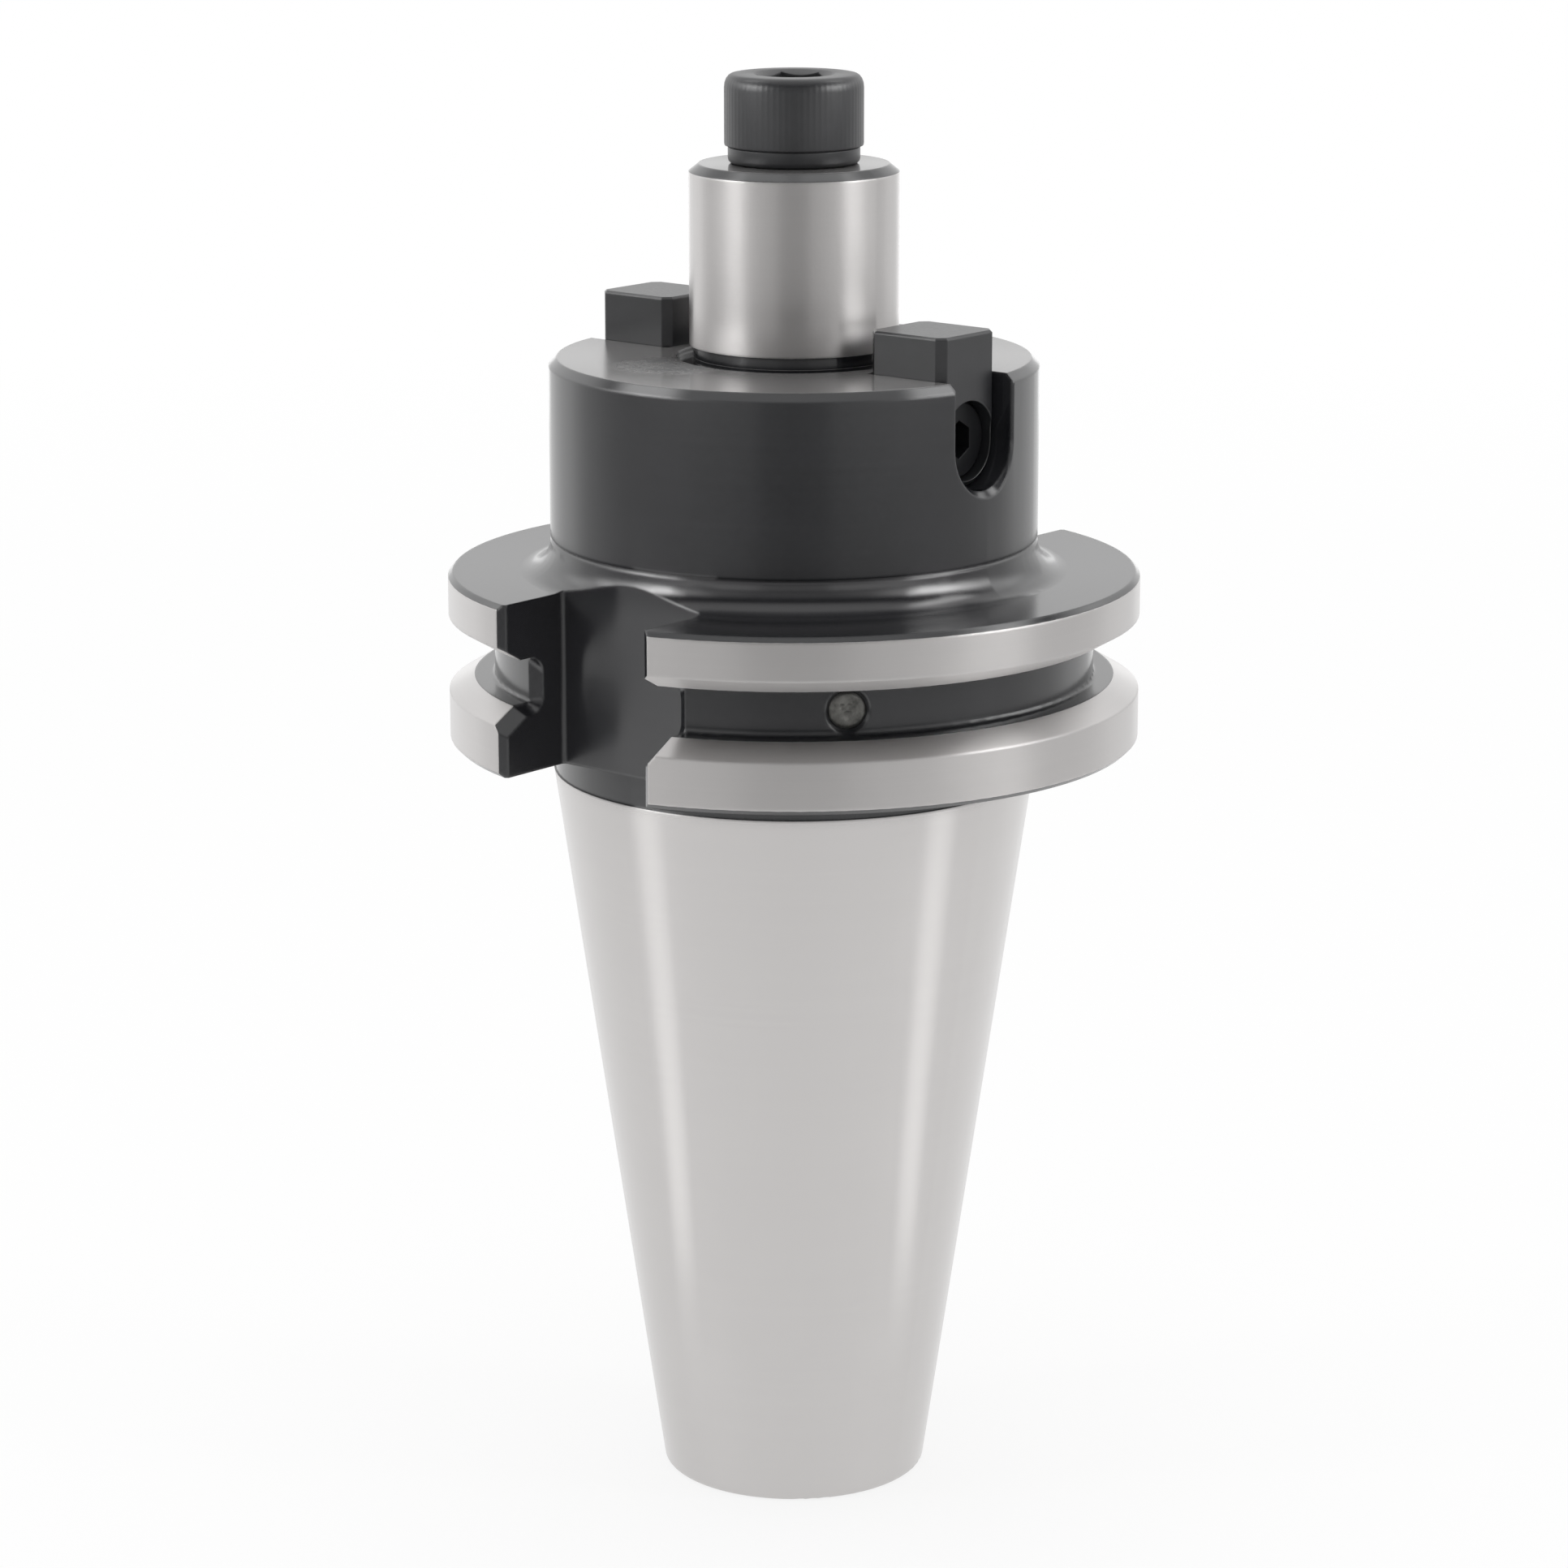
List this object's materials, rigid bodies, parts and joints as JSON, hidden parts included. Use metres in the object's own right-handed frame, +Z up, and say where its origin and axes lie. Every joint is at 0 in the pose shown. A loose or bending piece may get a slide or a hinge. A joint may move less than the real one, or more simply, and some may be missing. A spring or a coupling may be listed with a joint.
{
  "type": "shell mill arbor",
  "caption": "Tool holder with a 7:24 taper shank, V-groove flange, ground pilot, bolted drive keys and a socket-head lock screw for a shell mill.",
  "frame": {"origin": "centre of the taper's small end, on which the arbor stands", "axes": "+Z up the spindle axis towards the cutter, +X through the front drive key, -Y through the front drive slot of the flange"},
  "size_m": [0.0636, 0.061, 0.1318],
  "materials": {
    "arbor_steel": "ground on the taper, rims, groove flanks and pilot, black oxide elsewhere",
    "blackened_key": "black oxide, satin",
    "blackened_screw": "black oxide, semi-gloss",
    "bare_plug": "bare, dull"
  },
  "bodies": {
    "arbor": {"arbor_body": "arbor_steel", "drive_key_front": "blackened_key", "drive_key_rear": "blackened_key", "key_screw_front": "blackened_screw", "key_screw_rear": "blackened_screw", "groove_plug": "bare_plug"},
    "lock_screw": {"lock_screw": "blackened_screw"}
  },
  "joints": [
    {"name": "lock_screw_slide", "type": "slide", "parent": "arbor", "child": "lock_screw", "axis": [0, 0, 1], "range_m": [0, 0.025]}
  ]
}
